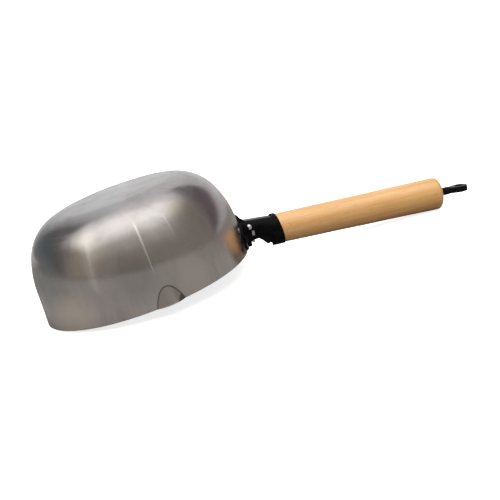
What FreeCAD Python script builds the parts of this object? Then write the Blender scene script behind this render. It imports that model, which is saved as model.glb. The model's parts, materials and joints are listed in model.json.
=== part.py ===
"""Mason's ladle: a deep steel bowl with two pour lips and a long wooden grip, stored upside down.

Units are millimetres.  Every piece is drawn in the ladle's own frame: the origin is the centre
of the rim circle, +Z runs from the rim towards the bowl's base and +X points to the handle.
The last section tips the finished pieces about the rim so that the ladle lies at rest on the
edge of its rim and the tail of its grip, with the row's origin under the middle of the whole.
"""
import FreeCAD, Part
import math
import os
import Sketcher
from FreeCAD import Placement, Rotation, Vector

doc = FreeCAD.newDocument("mortar_ladle")

# ---------------------------------------------------------------- driving dimensions
SIZES = {
    # bowl
    "rim_radius": 90.0,
    "bowl_height": 83.8,
    "wall_height": 28.4,
    "wall_draft": 2.5,
    "shoulder_radius_wide": 83.4,
    "shoulder_radius_tight": 40.4,
    "base_radius": 630.0,
    "bowl_sheet": 1.0,
    # pour lips, one each side
    "lip_bearing": 86.4,
    "lip_radius": 16.0,
    "lip_reach": 4.2,
    "lip_height": 14.7,
    # grip axis: how far past the rim it leaves the socket, and its droop from the rim plane
    "socket_reach": 33.4,
    "axis_height": 1.65,
    "grip_droop": 9.6,
    # bracket: flange on the wall, neck, underside and socket; a reach is measured from the rim
    "bracket_sheet": 1.5,
    "flange_bottom": 0.6,
    "flange_top": 27.0,
    "flange_half_width": 31.0,
    "flange_waist_height": 15.0,
    "flange_corner": 5.0,
    "tab_half_width": 6.0,
    "tab_lift": 0.6,
    "tab_bend_reach": 6.1,
    "tab_bend_radius": 14.0,
    "side_bend": 3.2,
    "neck_root_inside": 6.0,
    "neck_root_half_width": 8.5,
    "neck_root_top": 22.4,
    "neck_root_bottom": -6.0,
    "neck_root_corner": 4.5,
    "neck_root_foot": 2.5,
    "neck_end": 4.0,
    "neck_end_half_width": 12.9,
    "neck_end_top": 12.05,
    "neck_end_bottom": -12.6,
    "neck_end_corner": 10.0,
    "neck_end_foot": 10.5,
    "block_reach": 4.2,
    "block_root_bottom": -1.2,
    "block_end_bottom": -2.2,
    "scoop_reach": 4.9,
    "scoop_height": 2.3,
    "scoop_peak_reach": 12.3,
    "scoop_radius": 3.0,
    "heel_reach": 19.2,
    "heel_bottom": -8.0,
    "socket_radius": 13.9,
    "socket_sheet": 0.95,
    "socket_back_top": 5.4,
    "socket_back_bottom": 13.0,
    "socket_overrun": 6.5,
    # anchor inside the neck
    "bridge_start": 26.9,
    "bridge_sheet": 2.2,
    "bridge_half_width": 7.2,
    "bridge_drop": 6.0,
    "bridge_tab_bottom": 0.6,
    "bridge_tab_top": 4.6,
    "bridge_tab_proud": 0.6,
    "lug_margin": 2.8,
    "lug_bottom": 6.2,
    "lug_top": 9.6,
    "nut_flats": 10.0,
    "nut_length": 5.0,
    # rivets
    "cross_rivet_ahead": 28.2,
    "cross_rivet_radius": 1.6,
    "cross_head_radius": 2.7,
    "cross_head_height": 1.5,
    "flange_rivet_aside": 22.534,
    "flange_rivet_height": 8.5,
    "flange_rivet_radius": 2.0,
    "flange_head_radius": 4.0,
    "flange_head_height": 1.6,
    "flange_tail_height": 0.95,
    # tie rod with its hanging eye
    "rod_radius": 3.0,
    "eye_neck_radius": 3.6,
    "rod_collar_radius": 5.4,
    "rod_collar_length": 2.0,
    "rod_start": 32.9,
    "eye_reach": 28.7,
    "eye_radius": 7.5,
    "eye_hole_radius": 3.6,
    "eye_thickness": 5.4,
    "eye_taper_length": 12.0,
    "eye_taper_half_width": 3.0,
    # washer in the tail of the grip
    "washer_radius": 6.8,
    "washer_length": 1.5,
    # grip
    "grip_length": 152.2,
    "grip_front_radius": 13.1,
    "grip_tail_radius": 14.4,
    "grip_edge": 3.6,
    "grip_shoulder": 2.5,
    "seat_setback": 0.5,
    "tenon_radius": 9.0,
    "tenon_length": 14.0,
    "recess_depth": 6.0,
    # fits
    "thread_gap": 0.05,
    "rod_gap": 0.4,
    "seat_gap": 0.05,
    "recess_gap": 0.4,
    "slot_gap": 0.15,
}
# Distances from the bowl's axis that follow the rim.
PLACES = {
    "neck_root": "=rim_radius - neck_root_inside",
    "block_end": "=rim_radius + block_reach",
    "scoop_start": "=rim_radius + scoop_reach",
    "scoop_peak": "=rim_radius + scoop_peak_reach",
    "heel_distance": "=rim_radius + heel_reach",
    "socket_distance": "=rim_radius + socket_reach",
}
CELLS = {**SIZES, **PLACES}
# How far a cutting shape runs past the face that it opens.
PAST = "1"
# Further than any edge of the object from the planes that the cuts are drawn on.
FAR = "60"

sheet = doc.addObject("Spreadsheet::Sheet", "sizes")
for row, (alias, content) in enumerate(CELLS.items(), start=1):
    sheet.set("A%d" % row, alias)
    sheet.set("B%d" % row, str(content))
    sheet.setAlias("B%d" % row, alias)
doc.recompute()


def bind(text):
    """Turn plain alias names in a formula into references to the sheet."""
    for alias in sorted(CELLS, key=len, reverse=True):
        text = text.replace("$" + alias, "sizes." + alias)
    return text


def value(formula):
    """Number that a formula of sheet names gives now."""
    result = sheet.evalExpression(bind(formula))
    return float(getattr(result, "Value", result))


# ---------------------------------------------------------------- sketch and feature helpers
def new_body(label):
    body = doc.addObject("PartDesign::Body", label)
    body.Label = label
    return body


def new_sketch(body, name, plane, offset=None):
    """Sketch attached to one of its own body's origin planes."""
    sketch = body.newObject("Sketcher::SketchObject", name)
    support = [item for item in body.Origin.OriginFeatures if item.Role == plane][0]
    sketch.AttachmentSupport = [(support, "")]
    sketch.MapMode = "FlatFace"
    if offset:
        sketch.AttachmentOffset = offset
    return sketch


def fix_point(sketch, geometry, end, across, along):
    """Hold one end of a line or arc at a place given by two formulas."""
    for kind, formula in (("DistanceX", across), ("DistanceY", along)):
        index = sketch.addConstraint(
            Sketcher.Constraint(kind, -1, 1, geometry, end, value(formula)))
        sketch.setExpression("Constraints[%d]" % index, bind(formula))


def add_outline(sketch, steps):
    """Closed outline.  Each step is (x, y) for a straight side to that point, or
    (x, y, radius, side) for an arc to it whose centre lies to the left (+1) or right (-1)."""
    points = [Vector(value(step[0]), value(step[1]), 0) for step in steps]
    first = sketch.GeometryCount
    for number, step in enumerate(steps):
        start = points[number - 1]
        end = points[number]
        if len(step) == 2:
            sketch.addGeometry(Part.LineSegment(start, end), False)
            continue
        radius = value(step[2])
        chord = end - start
        middle = (start + end) * 0.5
        left = Vector(-chord.y, chord.x, 0).normalize()
        rise = math.sqrt(max(radius ** 2 - (chord.Length / 2) ** 2, 0.0))
        centre = middle + left * rise * step[3]
        bulge = centre - left * radius * step[3]
        sketch.addGeometry(Part.Arc(start, bulge, end), False)
    for number, step in enumerate(steps):
        geometry = first + number
        if len(step) == 2:
            start_end, end_end = 1, 2
        else:
            start_end, end_end = (1, 2) if step[3] > 0 else (2, 1)
        following = steps[(number + 1) % len(steps)]
        next_start = 1 if len(following) == 2 or following[3] > 0 else 2
        next_geometry = first + (number + 1) % len(steps)
        sketch.addConstraint(
            Sketcher.Constraint("Coincident", geometry, end_end, next_geometry, next_start))
        fix_point(sketch, geometry, end_end, step[0], step[1])
        if len(step) == 4:
            index = sketch.addConstraint(Sketcher.Constraint("Radius", geometry, value(step[2])))
            sketch.setExpression("Constraints[%d]" % index, bind(step[2]))


def add_circle(sketch, across, along, radius):
    circle = Part.Circle(Vector(value(across), value(along), 0), Vector(0, 0, 1), value(radius))
    geometry = sketch.addGeometry(circle, False)
    fix_point(sketch, geometry, 3, across, along)
    index = sketch.addConstraint(Sketcher.Constraint("Radius", geometry, value(radius)))
    sketch.setExpression("Constraints[%d]" % index, bind(radius))


def add_box_outline(sketch, left, bottom, right, top):
    add_outline(sketch, [(left, bottom), (right, bottom), (right, top), (left, top)])


def turn(body, name, sketch, cut=False, axis="V_Axis", angle=360.0):
    """Revolve a sketch, adding to the body or cutting from it."""
    kind = "PartDesign::Groove" if cut else "PartDesign::Revolution"
    feature = body.newObject(kind, name)
    feature.Profile = sketch
    feature.ReferenceAxis = (sketch, [axis])
    feature.Angle = angle
    feature.Midplane = angle < 360.0
    sketch.Visibility = False
    return feature


def extrude(body, name, sketch, formula, cut=False, middle=False, reverse=False):
    """Pad or pocket a sketch by a length given by a formula."""
    feature = body.newObject("PartDesign::Pocket" if cut else "PartDesign::Pad", name)
    feature.Profile = sketch
    feature.setExpression("Length", bind(formula))
    feature.Length = value(formula)
    feature.Midplane = middle
    feature.Reversed = reverse
    return feature


def loft(body, name, sections, cut=False):
    kind = "PartDesign::SubtractiveLoft" if cut else "PartDesign::AdditiveLoft"
    feature = body.newObject(kind, name)
    feature.Profile = sections[0]
    feature.Sections = sections[1:]
    feature.Ruled = True
    return feature


def step_volume(body, feature, grows):
    """Recompute and make sure that the last feature added or removed material."""
    before = feature.BaseFeature.Shape.Volume if feature.BaseFeature else 0.0
    body.Tip = feature
    doc.recompute()
    change = feature.Shape.Volume - before
    if (change > 0) != grows or abs(change) < 1e-3:
        raise RuntimeError("%s changes nothing" % feature.Name)


# ---------------------------------------------------------------- the grip's axis
# Grip frame: origin at the socket's mouth, +X along the grip towards its tail, +Z up from it.
grip_frame = Placement(
    Vector(value("$socket_distance"), 0, value("$axis_height")),
    Rotation(Vector(0, 1, 0), value("$grip_droop")))


# ---------------------------------------------------------------- bowl
def bowl_profile(sketch, inset):
    """Half section of the bowl: drafted wall, two tangent shoulder arcs and a domed base.

    The inset is the formula of how far inside the outer skin this profile lies.
    """
    draft = math.radians(value("$wall_draft"))
    depth = value(inset)
    outward = Vector(math.cos(draft), math.sin(draft), 0)
    rim = Vector(value("$rim_radius") - depth / math.cos(draft), 0, 0)
    wall = value("$wall_height")
    shoulder_start = Vector(value("$rim_radius") - wall * math.tan(draft), wall, 0)
    wide, tight, base = (value("$" + name) for name in
                         ("shoulder_radius_wide", "shoulder_radius_tight", "base_radius"))
    wide_centre = shoulder_start - outward * wide
    base_centre = Vector(0, value("$bowl_height") - base, 0)
    # The tight arc touches the wide arc and the base arc from inside.
    span = wide_centre - base_centre
    reach = wide - tight
    cosine = ((base - tight) ** 2 - span.Length ** 2 - reach ** 2) / (2 * reach * span.Length)
    angle = math.atan2(span.y, span.x) - math.acos(cosine)
    heading = Vector(math.cos(angle), math.sin(angle), 0)
    tight_centre = wide_centre + heading * reach
    upward = (tight_centre - base_centre).normalize()
    shoulder_start = shoulder_start - outward * depth
    shoulder_middle = wide_centre + heading * (wide - depth)
    shoulder_end = base_centre + upward * (base - depth)
    crown = base_centre + Vector(0, base - depth, 0)
    up = Vector(0, 0, 1)

    def arc(centre, radius, start, end):
        angles = [math.atan2(point.y - centre.y, point.x - centre.x) for point in (start, end)]
        return Part.ArcOfCircle(Part.Circle(centre, up, radius), *angles)

    sketch.addGeometry(Part.LineSegment(rim, shoulder_start), False)
    sketch.addGeometry(arc(wide_centre, wide - depth, shoulder_start, shoulder_middle), False)
    sketch.addGeometry(arc(tight_centre, tight - depth, shoulder_middle, shoulder_end), False)
    sketch.addGeometry(arc(base_centre, base - depth, shoulder_end, crown), False)
    sketch.addGeometry(Part.LineSegment(crown, Vector(0, 0, 0)), False)
    sketch.addGeometry(Part.LineSegment(Vector(0, 0, 0), rim), False)
    limits = [
        ("Coincident", 4, 2, 5, 1),
        ("Coincident", 5, 2, 0, 1),
        ("Coincident", 5, 1, -1, 1),
        ("Horizontal", 5),
        ("Vertical", 4),
        ("Coincident", 3, 2, 4, 1),
        ("Tangent", 0, 2, 1, 1),
        ("Tangent", 1, 2, 2, 1),
        ("Tangent", 2, 2, 3, 1),
        ("PointOnObject", 3, 3, -2),
    ]
    for limit in limits:
        sketch.addConstraint(Sketcher.Constraint(*limit))
    driven = [
        (("DistanceX", -1, 1, 0, 1), "$rim_radius - (%s) / cos($wall_draft * 1 deg)"),
        (("DistanceY", -1, 1, 0, 2), "$wall_height - (%s) * sin($wall_draft * 1 deg)"),
        (("DistanceX", 0, 2, 0, 1),
         "($wall_height - (%s) * sin($wall_draft * 1 deg)) * tan($wall_draft * 1 deg)"),
        (("Radius", 1), "$shoulder_radius_wide - (%s)"),
        (("Radius", 2), "$shoulder_radius_tight - (%s)"),
        (("Radius", 3), "$base_radius - (%s)"),
        (("DistanceY", -1, 1, 4, 1), "$bowl_height - (%s)"),
    ]
    for what, pattern in driven:
        formula = pattern % inset
        index = sketch.addConstraint(Sketcher.Constraint(*what, value(formula)))
        sketch.setExpression("Constraints[%d]" % index, bind(formula))


# How far a lip's centre moves towards the bowl's axis for each millimetre above the rim.
LIP_LEAN = "(($lip_reach + $lip_height * tan($wall_draft * 1 deg)) / $lip_height)"


def lip_sections(body, name, side, heights, radius):
    """Two circles, one above the other, that lean in towards the bowl's axis."""
    sections = []
    for number, height in enumerate(heights):
        sketch = new_sketch(body, "%s_%d" % (name, number), "XY_Plane",
                            Placement(Vector(0, 0, value(height)), Rotation()))
        distance = "($rim_radius + $lip_reach - $lip_radius - (%s) * %s)" % (height, LIP_LEAN)
        add_circle(sketch, "%s * cos($lip_bearing * 1 deg)" % distance,
                   "%d * %s * sin($lip_bearing * 1 deg)" % (side, distance), radius)
        sections.append(sketch)
    return sections


def rivet_hole(body, name, side):
    """Round hole through the near wall, square to it, for one flange rivet."""
    sketch = new_sketch(body, name + "_place", "YZ_Plane",
                        Placement(Vector(0, 0, 0), Rotation(Vector(0, 1, 0), side * BEARING)))
    add_circle(sketch, "0", "$flange_rivet_height", "$flange_rivet_radius")
    hole = extrude(body, name, sketch, THROUGH_WALL, cut=True, reverse=True)
    step_volume(body, hole, grows=False)


BEARING = math.degrees(math.asin(value("$flange_rivet_aside / $rim_radius")))
THROUGH_WALL = "$rim_radius + 10"
# The lips' cones go on above the lips, where they lie inside the bowl's wall.
LIP_TOP = "1.6 * $lip_height"

bowl = new_body("bowl")
outer = new_sketch(bowl, "bowl_outer", "XZ_Plane")
bowl_profile(outer, "0")
step_volume(bowl, turn(bowl, "bowl_blank", outer), grows=True)
for side, hand in ((1, "left"), (-1, "right")):
    sections = lip_sections(bowl, "lip_outer_" + hand, side, ("0", LIP_TOP), "$lip_radius")
    step_volume(bowl, loft(bowl, "lip_" + hand, sections), grows=True)
inner = new_sketch(bowl, "bowl_inner", "XZ_Plane")
bowl_profile(inner, "$bowl_sheet")
step_volume(bowl, turn(bowl, "bowl_hollow", inner, cut=True), grows=False)
for side, hand in ((1, "left"), (-1, "right")):
    sections = lip_sections(bowl, "lip_inner_" + hand, side, ("-" + PAST, LIP_TOP),
                            "$lip_radius - $bowl_sheet")
    step_volume(bowl, loft(bowl, "lip_hollow_" + hand, sections, cut=True), grows=False)
for side, hand in ((1, "left"), (-1, "right")):
    rivet_hole(bowl, "bowl_rivet_hole_" + hand, side)


# ---------------------------------------------------------------- bracket
YZ_TURN = Rotation(Vector(1, 1, 1), 120)


def grip_sketch(body, name):
    """Sketch in the ladle's middle plane whose horizontal axis is the grip's axis."""
    sketch = new_sketch(body, name, "XZ_Plane", Placement(
        Vector(value("$socket_distance"), value("$axis_height"), 0),
        Rotation(Vector(0, 0, 1), -value("$grip_droop"))))
    sketch.setExpression("AttachmentOffset.Base.x", bind("$socket_distance"))
    sketch.setExpression("AttachmentOffset.Base.y", bind("$axis_height"))
    return sketch


def cross_sketch(body, name, ahead):
    """Sketch square to the grip's axis, a given distance ahead of the socket's mouth."""
    origin = grip_frame.multVec(Vector(-value(ahead), 0, 0))
    target = Placement(origin, grip_frame.Rotation.multiply(YZ_TURN))
    offset = Placement(Vector(0, 0, 0), YZ_TURN).inverse().multiply(target)
    return new_sketch(body, name, "YZ_Plane", offset)


def neck_section(sketch, half_width, top, bottom, corner, foot):
    """Rounded box section of the neck, with its own radius above and at the foot."""
    inside = "(%s - (%s))" % (half_width, foot)
    shelf = "(%s - (%s))" % (half_width, corner)
    add_outline(sketch, [
        (inside, bottom),
        (half_width, "%s + (%s)" % (bottom, foot), foot, 1),
        (half_width, "%s - (%s)" % (top, corner)),
        (shelf, top, corner, 1),
        ("-" + shelf, top),
        ("-(%s)" % half_width, "%s - (%s)" % (top, corner), corner, 1),
        ("-(%s)" % half_width, "%s + (%s)" % (bottom, foot)),
        ("-" + inside, bottom, foot, 1),
    ])


def neck_loft(body, name, inset, root_bottom, end_bottom, cut):
    """Neck from its root inside the bowl's skin to the socket; the inset makes it hollow."""
    root = new_sketch(body, name + "_root", "YZ_Plane",
                      Placement(Vector(0, 0, value("$neck_root")), Rotation()))
    neck_section(root, "($neck_root_half_width - %s)" % inset, "$neck_root_top - %s" % inset,
                 root_bottom, "$neck_root_corner - %s" % inset, "$neck_root_foot")
    end = cross_sketch(body, name + "_end", "$neck_end")
    neck_section(end, "($neck_end_half_width - %s)" % inset, "$neck_end_top - %s" % inset,
                 end_bottom, "$neck_end_corner - %s" % inset, "$neck_end_foot - %s" % inset)
    return loft(body, name, [root, end], cut)


def wall_radius(height):
    """Radius of the bowl's outer skin at a height on its drafted wall."""
    return "($rim_radius - (%s) * tan($wall_draft * 1 deg))" % height


def neck_half_width(distance):
    """Half the neck's width at a distance from the bowl's axis."""
    return ("($neck_root_half_width + ((%s) - $neck_root) / ($socket_distance - $neck_end"
            " - $neck_root) * ($neck_end_half_width - $neck_root_half_width))" % distance)


def cross_hole(body, name, radius):
    """Round hole from side to side, on the line of the cross rivet."""
    sketch = grip_sketch(body, name + "_place")
    add_circle(sketch, "-$cross_rivet_ahead", CROSS_HEIGHT, radius)
    step_volume(body, extrude(body, name, sketch, FAR, cut=True, middle=True), grows=False)


def bridge_tabs(body, name, gap, length, cut):
    """Block across the neck where the bridge's tabs reach through the neck's walls."""
    sketch = grip_sketch(body, name + "_place")
    add_box_outline(sketch, "-$bridge_start - " + gap, "$bridge_tab_bottom - " + gap,
                    "-$bridge_start + $bridge_sheet + " + gap, "$bridge_tab_top + " + gap)
    step_volume(body, extrude(body, name, sketch, length, cut=cut, middle=True), grows=not cut)


CROSS_HEIGHT = "(0.5 * ($lug_bottom + $lug_top))"

bracket = new_body("bracket")

# Flange: a band bent to the wall, then trimmed to its outline.
flange = new_sketch(bracket, "flange_section", "XZ_Plane")
add_outline(flange, [
    (wall_radius("$flange_bottom"), "$flange_bottom"),
    (wall_radius("$flange_bottom") + " + $bracket_sheet", "$flange_bottom"),
    (wall_radius("$flange_top") + " + $bracket_sheet", "$flange_top"),
    (wall_radius("$flange_top"), "$flange_top"),
])
BAND_MARGIN = 10.0
band_angle = 2 * math.degrees(math.asin(value("$flange_half_width / $rim_radius"))) + BAND_MARGIN
step_volume(bracket, turn(bracket, "flange_band", flange, angle=band_angle), grows=True)

ears = new_sketch(bracket, "flange_outline", "YZ_Plane")
add_box_outline(ears, "-" + FAR, "-" + FAR, FAR, FAR)
add_outline(ears, [
    ("$flange_half_width - $flange_corner", "$flange_bottom"),
    ("$flange_half_width", "$flange_bottom + $flange_corner", "$flange_corner", 1),
    ("$flange_half_width - 0.5 * $flange_corner", "$flange_waist_height"),
    ("$tab_half_width + 0.5 * $flange_corner", "$flange_top - 0.5 * $flange_corner"),
    ("$tab_half_width", "$flange_top"),
    ("-$tab_half_width", "$flange_top"),
    ("-$tab_half_width - 0.5 * $flange_corner", "$flange_top - 0.5 * $flange_corner"),
    ("-$flange_half_width + 0.5 * $flange_corner", "$flange_waist_height"),
    ("-$flange_half_width", "$flange_bottom + $flange_corner"),
    ("-$flange_half_width + $flange_corner", "$flange_bottom", "$flange_corner", 1),
])
step_volume(bracket, extrude(bracket, "flange_trim", ears, THROUGH_WALL, cut=True, reverse=True),
            grows=False)

# Bend under the flange's top tab, down to the neck's sloping top.
TAB_FACE = wall_radius("$flange_top") + " + $bracket_sheet"
BEND_END = TAB_FACE + " + $tab_bend_reach"
NECK_FALL = ("(($neck_root_top - $axis_height - $neck_end * sin($grip_droop * 1 deg)"
             " - $neck_end_top * cos($grip_droop * 1 deg))"
             " / ($socket_distance - $neck_end * cos($grip_droop * 1 deg)"
             " + $neck_end_top * sin($grip_droop * 1 deg) - $neck_root))")
NECK_SHOULDER = "$neck_root_top - $neck_root_corner"
tab_bend = new_sketch(bracket, "tab_bend_section", "XZ_Plane")
add_outline(tab_bend, [
    ("$neck_root", "$flange_top"),
    ("$neck_root", NECK_SHOULDER),
    (BEND_END, NECK_SHOULDER),
    (BEND_END, "$neck_root_top - (%s - $neck_root) * %s" % (BEND_END, NECK_FALL)),
    (TAB_FACE + " + $tab_lift", "$flange_top", "$tab_bend_radius", -1),
])
step_volume(bracket, extrude(bracket, "tab_bend", tab_bend, "2 * $tab_half_width", middle=True),
            grows=True)

# Upright bends between the neck's sides and the flange's ears.
SIDE_FACE = ("sqrt((%s + $bracket_sheet) ^ 2 - ($neck_root_half_width + $side_bend) ^ 2)"
             % wall_radius("0.5 * $flange_top"))
BEND_SIDE = neck_half_width(SIDE_FACE + " + $side_bend")
for side, hand in ((1, "left"), (-1, "right")):
    mirror = "%d * " % side
    plan = new_sketch(bracket, "side_bend_plan_" + hand, "XY_Plane",
                      Placement(Vector(0, 0, value("$flange_bottom")), Rotation()))
    add_outline(plan, [
        ("$neck_root", mirror + "(%s + $side_bend)" % BEND_SIDE),
        (SIDE_FACE, mirror + "(%s + $side_bend)" % BEND_SIDE),
        (SIDE_FACE + " + $side_bend", mirror + BEND_SIDE, "$side_bend", side),
        (SIDE_FACE + " + $side_bend", mirror + "$neck_root_half_width"),
        ("$neck_root", mirror + "$neck_root_half_width"),
    ])
    step_volume(bracket, extrude(bracket, "side_bend_" + hand, plan,
                                 NECK_SHOULDER + " - $flange_bottom"), grows=True)

# Socket: a ring about the grip, cut off slanting at its back and upright at its mouth.
tube = grip_sketch(bracket, "socket_section")
add_box_outline(tube, "-$socket_back_bottom - " + PAST, "0", "$socket_overrun", "$socket_radius")
step_volume(bracket, turn(bracket, "socket_blank", tube, axis="H_Axis"), grows=True)
slant = grip_sketch(bracket, "socket_back")
add_outline(slant, [
    ("-$socket_back_top", "$socket_radius + " + PAST),
    ("-2 * $socket_back_bottom", "$socket_radius + " + PAST),
    ("-2 * $socket_back_bottom", "-$socket_radius - " + PAST),
    ("-$socket_back_bottom", "-$socket_radius - " + PAST),
])
step_volume(bracket, extrude(bracket, "socket_back_cut", slant, FAR, cut=True, middle=True),
            grows=False)
mouth = new_sketch(bracket, "socket_mouth", "XZ_Plane")
add_box_outline(mouth, "$socket_distance", "-" + FAR, "$socket_distance + " + FAR, FAR)
step_volume(bracket, extrude(bracket, "socket_mouth_cut", mouth, FAR, cut=True, middle=True),
            grows=False)
bore = grip_sketch(bracket, "socket_bore_section")
add_box_outline(bore, "-2 * $socket_back_bottom", "0", "$socket_overrun + " + PAST,
                "$socket_radius - $socket_sheet")
step_volume(bracket, turn(bracket, "socket_bore", bore, cut=True, axis="H_Axis"), grows=False)

# Neck: a channel open below, whose root is trimmed to the bowl's skin.
DEEP = "($heel_bottom - $socket_radius)"
step_volume(bracket, neck_loft(bracket, "neck", "0", "$neck_root_bottom", "$neck_end_bottom",
                               cut=False), grows=True)
step_volume(bracket, neck_loft(bracket, "channel", "$bracket_sheet", DEEP,
                               "$neck_end_bottom + $bracket_sheet", cut=True), grows=False)
skin = new_sketch(bracket, "bowl_skin", "XZ_Plane")
add_outline(skin, [
    (wall_radius("-" + FAR), "-" + FAR),
    (wall_radius(FAR), FAR),
    ("0", FAR),
    ("0", "-" + FAR),
])
step_volume(bracket, turn(bracket, "root_trim", skin, cut=True), grows=False)

# Underside: a short block at the root, a step up to the scoop, then a slope down to the heel.
SLOPE = "(($heel_distance - $scoop_peak) / ($scoop_height - $heel_bottom))"
TURN = "(90 deg - atan(%s))" % SLOPE
BACK = "($scoop_radius * tan(%s / 2))" % TURN
under = new_sketch(bracket, "underside_outline", "XZ_Plane")
add_outline(under, [
    ("$neck_root", "$block_root_bottom"),
    ("$block_end", "$block_end_bottom"),
    ("$scoop_start", "$scoop_height"),
    ("$scoop_peak - " + BACK, "$scoop_height"),
    ("$scoop_peak + %s * cos(%s)" % (BACK, TURN), "$scoop_height - %s * sin(%s)" % (BACK, TURN),
     "$scoop_radius", -1),
    ("$heel_distance + $socket_radius * " + SLOPE, DEEP),
    ("$neck_root", DEEP),
])
step_volume(bracket, extrude(bracket, "underside", under, FAR, cut=True, middle=True),
            grows=False)
for side, hand in ((1, "left"), (-1, "right")):
    rivet_hole(bracket, "ear_rivet_hole_" + hand, side)
cross_hole(bracket, "bracket_rivet_hole", "$cross_rivet_radius")
bridge_tabs(bracket, "tab_slots", "$slot_gap", FAR, cut=True)


def grip_turned(body, name, radius_steps, cut=False):
    """Revolve a stepped outline of (distance, radius) points about the grip's axis."""
    sketch = grip_sketch(body, name + "_section")
    steps = [(radius_steps[0][0], "0")] + list(radius_steps) + [(radius_steps[-1][0], "0")]
    add_outline(sketch, steps)
    feature = turn(body, name, sketch, cut=cut, axis="H_Axis")
    step_volume(body, feature, grows=not cut)
    return feature


# ---------------------------------------------------------------- anchor bridge and nut
bridge = new_body("anchor_bridge")
angle_plate = grip_sketch(bridge, "bridge_section")
add_outline(angle_plate, [
    ("-$bridge_start + $bridge_sheet", "-$bridge_drop"),
    ("-$bridge_start + $bridge_sheet", "$lug_top"),
    ("-$cross_rivet_ahead - $lug_margin", "$lug_top"),
    ("-$cross_rivet_ahead - $lug_margin", "$lug_bottom"),
    ("-$bridge_start", "$lug_bottom"),
    ("-$bridge_start", "-$bridge_drop"),
])
step_volume(bridge, extrude(bridge, "bridge_plate", angle_plate, "2 * $bridge_half_width",
                            middle=True), grows=True)
NECK_AT_TABS = neck_half_width("$socket_distance - $bridge_start")
bridge_tabs(bridge, "side_tabs", "0", "2 * (%s + $bridge_tab_proud)" % NECK_AT_TABS, cut=False)
grip_turned(bridge, "bridge_rod_hole", [
    ("-$bridge_start - " + PAST, "$rod_radius + $rod_gap"),
    ("-$bridge_start + $bridge_sheet + " + PAST, "$rod_radius + $rod_gap"),
], cut=True)
cross_hole(bridge, "bridge_rivet_hole", "$cross_rivet_radius")

nut = new_body("anchor_nut")
hexagon = cross_sketch(nut, "nut_outline", "$bridge_start + $nut_length")
CORNER = "($nut_flats / 2 / cos(30 * 1 deg))"
add_outline(hexagon, [
    ("%s * cos(%d * 1 deg)" % (CORNER, 60 * number), "%s * sin(%d * 1 deg)" % (CORNER, 60 * number))
    for number in range(6)
])
step_volume(nut, extrude(nut, "nut_blank", hexagon, "$nut_length"), grows=True)
grip_turned(nut, "nut_thread", [
    ("-$bridge_start - $nut_length - " + PAST, "$rod_radius + $thread_gap"),
    ("-$bridge_start + " + PAST, "$rod_radius + $thread_gap"),
], cut=True)

# ---------------------------------------------------------------- tie rod with hanging eye
WASHER_FACE = "($grip_length - $recess_depth + $washer_length)"
EYE_CENTRE = "($grip_length + $eye_reach - $eye_radius)"
rod = new_body("tie_rod")
# The shaft runs out in a cone inside the plate of the eye, well before its hole.
grip_turned(rod, "rod_shaft", [
    ("-$rod_start", "$rod_radius"),
    (WASHER_FACE, "$rod_radius"),
    (WASHER_FACE, "$rod_collar_radius"),
    (WASHER_FACE + " + $rod_collar_length", "$rod_collar_radius"),
    (WASHER_FACE + " + $rod_collar_length", "$eye_neck_radius"),
    (EYE_CENTRE + " - $eye_taper_length", "$eye_neck_radius"),
    (EYE_CENTRE + " - 0.5 * ($eye_radius + $eye_hole_radius)", "0.5 * $eye_thickness"),
])


def eye_sketch(body, name, height):
    """Sketch in the plane of the eye: across is along the grip, upward is to the ladle's side."""
    origin = grip_frame.multVec(Vector(0, 0, value(height)))
    return new_sketch(body, name, "XY_Plane", Placement(origin, grip_frame.Rotation))


plate = eye_sketch(rod, "eye_outline", "0")
add_circle(plate, EYE_CENTRE, "0", "$eye_radius")
step_volume(rod, extrude(rod, "eye_disc", plate, "$eye_thickness", middle=True), grows=True)
# The web's sides start beside the shaft and touch the disc: TOUCH is the angle, seen from the
# eye's centre and measured from the shaft, at which they do.
TOUCH = ("(atan($eye_taper_half_width / $eye_taper_length) + acos($eye_radius"
         " / sqrt($eye_taper_length ^ 2 + $eye_taper_half_width ^ 2)))")
cheeks = eye_sketch(rod, "eye_cheeks", "0")
add_outline(cheeks, [
    (EYE_CENTRE + " - $eye_taper_length", "-$eye_taper_half_width"),
    ("%s - $eye_radius * cos(%s)" % (EYE_CENTRE, TOUCH), "-$eye_radius * sin(%s)" % TOUCH),
    (EYE_CENTRE, "0"),
    ("%s - $eye_radius * cos(%s)" % (EYE_CENTRE, TOUCH), "$eye_radius * sin(%s)" % TOUCH),
    (EYE_CENTRE + " - $eye_taper_length", "$eye_taper_half_width"),
])
step_volume(rod, extrude(rod, "eye_web", cheeks, "$eye_thickness", middle=True), grows=True)
hole = eye_sketch(rod, "eye_hole_place", "0")
add_circle(hole, EYE_CENTRE, "0", "$eye_hole_radius")
step_volume(rod, extrude(rod, "eye_hole", hole, FAR, cut=True, middle=True), grows=False)

# ---------------------------------------------------------------- tail washer
washer = new_body("tail_washer")
grip_turned(washer, "washer_disc", [
    ("$grip_length - $recess_depth", "$washer_radius"),
    (WASHER_FACE, "$washer_radius"),
])
grip_turned(washer, "washer_bore", [
    ("$grip_length - $recess_depth - " + PAST, "$rod_radius + $rod_gap"),
    (WASHER_FACE + " + " + PAST, "$rod_radius + $rod_gap"),
], cut=True)

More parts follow.
